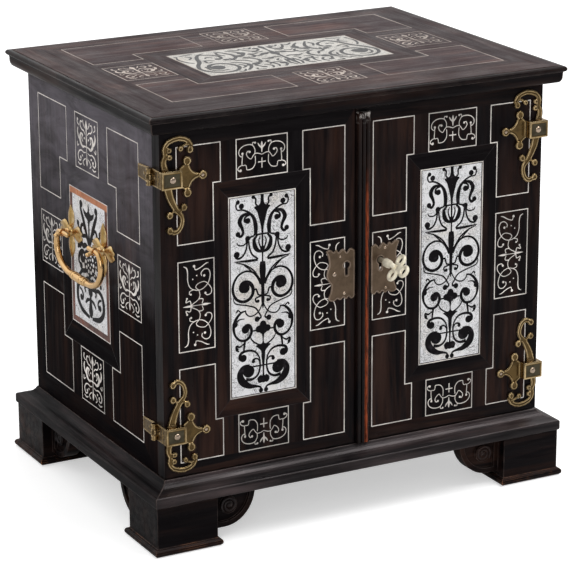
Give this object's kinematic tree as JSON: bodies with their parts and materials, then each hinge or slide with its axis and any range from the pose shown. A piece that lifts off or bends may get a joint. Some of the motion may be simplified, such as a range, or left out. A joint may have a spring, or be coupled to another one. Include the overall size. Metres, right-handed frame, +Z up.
{
  "type": "cabinet casket",
  "caption": "Ebonised table cabinet on scroll feet: inlaid doors on brass strap hinges, a lock with its key, drop handles, drawers inside",
  "frame": {"origin": "centre of the bounding box at the underside of the feet", "axes": "+X to the viewer's right along the front, +Y from the doors to the back, +Z up"},
  "size_m": [0.44, 0.3644, 0.4096],
  "materials": {
    "ebony": "ebonised and polished, brown where worn",
    "ivory": "engraved bone or ivory plate, polished",
    "aged_brass": "aged, rubbed on the edges",
    "bright_brass": "polished",
    "lock_iron": "filed iron",
    "drawer_wood": "waxed walnut"
  },
  "bodies": {
    "case": {"base_board": "ebony", "inner_top": "ebony", "left_side_board": "ebony", "right_side_board": "ebony", "back_board": "ebony", "top_board": "ebony", "cornice_front": "ebony", "cornice_right": "ebony", "cornice_back": "ebony", "cornice_left": "ebony", "base_moulding_front": "ebony", "base_moulding_right": "ebony", "base_moulding_back": "ebony", "base_moulding_left": "ebony", "foot_front_left": "ebony", "foot_front_right": "ebony", "foot_back_left": "ebony", "foot_back_right": "ebony", "left_side_panel": "ivory", "right_side_panel": "ivory", "top_panel": "ivory", "drawer_divider": "ebony", "left_upper_hinge_case_leaf": "aged_brass", "left_lower_hinge_case_leaf": "aged_brass", "right_upper_hinge_case_leaf": "aged_brass", "right_lower_hinge_case_leaf": "aged_brass", "left_handle_front_mount": "aged_brass", "left_handle_back_mount": "aged_brass", "right_handle_front_mount": "aged_brass", "right_handle_back_mount": "aged_brass"},
    "left_door": {"left_door": "ebony", "left_door_panel": "ivory", "left_lock_plate": "aged_brass", "left_upper_hinge_door_leaf": "aged_brass", "left_lower_hinge_door_leaf": "aged_brass"},
    "right_door": {"right_door": "ebony", "right_door_panel": "ivory", "right_lock_plate": "aged_brass", "astragal": "ebony", "lock_case": "lock_iron", "right_upper_hinge_door_leaf": "aged_brass", "right_lower_hinge_door_leaf": "aged_brass"},
    "key": {"key": "bright_brass"},
    "lock_bolt": {"lock_bolt": "lock_iron"},
    "left_bail": {"left_handle_bail": "bright_brass"},
    "right_bail": {"right_handle_bail": "bright_brass"},
    "left_lower_drawer": {"left_lower_drawer": "drawer_wood", "left_lower_drawer_knob": "bright_brass"},
    "left_middle_drawer": {"left_middle_drawer": "drawer_wood", "left_middle_drawer_knob": "bright_brass"},
    "left_upper_drawer": {"left_upper_drawer": "drawer_wood", "left_upper_drawer_knob": "bright_brass"},
    "right_lower_drawer": {"right_lower_drawer": "drawer_wood", "right_lower_drawer_knob": "bright_brass"},
    "right_middle_drawer": {"right_middle_drawer": "drawer_wood", "right_middle_drawer_knob": "bright_brass"},
    "right_upper_drawer": {"right_upper_drawer": "drawer_wood", "right_upper_drawer_knob": "bright_brass"}
  },
  "joints": [
    {"name": "left_door_hinge", "type": "hinge", "parent": "case", "child": "left_door", "pos_m": [-0.2032, -0.11695, 0.2295], "axis": [0, 0, -1], "range_deg": [0, 180]},
    {"name": "right_door_hinge", "type": "hinge", "parent": "case", "child": "right_door", "pos_m": [0.2032, -0.11695, 0.2295], "axis": [0, 0, 1], "range_deg": [0, 180]},
    {"name": "key_turn", "type": "hinge", "parent": "right_door", "child": "key", "pos_m": [0.024, -0.1466, 0.244], "axis": [0, -1, 0], "range_deg": [0, 216]},
    {"name": "bolt_slide", "type": "slide", "parent": "right_door", "child": "lock_bolt", "axis": [-1, 0, 0], "range_m": [0, 0.007]},
    {"name": "left_bail_swing", "type": "hinge", "parent": "case", "child": "left_bail", "pos_m": [-0.21, 0.0283, 0.2528], "axis": [0, 1, 0], "range_deg": [-5, 105]},
    {"name": "right_bail_swing", "type": "hinge", "parent": "case", "child": "right_bail", "pos_m": [0.21, 0.0283, 0.2528], "axis": [0, -1, 0], "range_deg": [-5, 105]},
    {"name": "left_lower_drawer_slide", "type": "slide", "parent": "case", "child": "left_lower_drawer", "axis": [0, -1, 0], "range_m": [0, 0.11]},
    {"name": "left_middle_drawer_slide", "type": "slide", "parent": "case", "child": "left_middle_drawer", "axis": [0, -1, 0], "range_m": [0, 0.11]},
    {"name": "left_upper_drawer_slide", "type": "slide", "parent": "case", "child": "left_upper_drawer", "axis": [0, -1, 0], "range_m": [0, 0.11]},
    {"name": "right_lower_drawer_slide", "type": "slide", "parent": "case", "child": "right_lower_drawer", "axis": [0, -1, 0], "range_m": [0, 0.11]},
    {"name": "right_middle_drawer_slide", "type": "slide", "parent": "case", "child": "right_middle_drawer", "axis": [0, -1, 0], "range_m": [0, 0.11]},
    {"name": "right_upper_drawer_slide", "type": "slide", "parent": "case", "child": "right_upper_drawer", "axis": [0, -1, 0], "range_m": [0, 0.11]}
  ],
  "couplings": [
    {"joint": "bolt_slide", "follows": "key_turn", "m_per_rad": 0.00185},
    {"joint": "left_lower_drawer_slide", "follows": "left_door_hinge", "m_per_rad": 0.035},
    {"joint": "left_middle_drawer_slide", "follows": "left_door_hinge", "m_per_rad": 0.035},
    {"joint": "left_upper_drawer_slide", "follows": "left_door_hinge", "m_per_rad": 0.035},
    {"joint": "right_lower_drawer_slide", "follows": "right_door_hinge", "m_per_rad": 0.035},
    {"joint": "right_middle_drawer_slide", "follows": "right_door_hinge", "m_per_rad": 0.035},
    {"joint": "right_upper_drawer_slide", "follows": "right_door_hinge", "m_per_rad": 0.035}
  ]
}
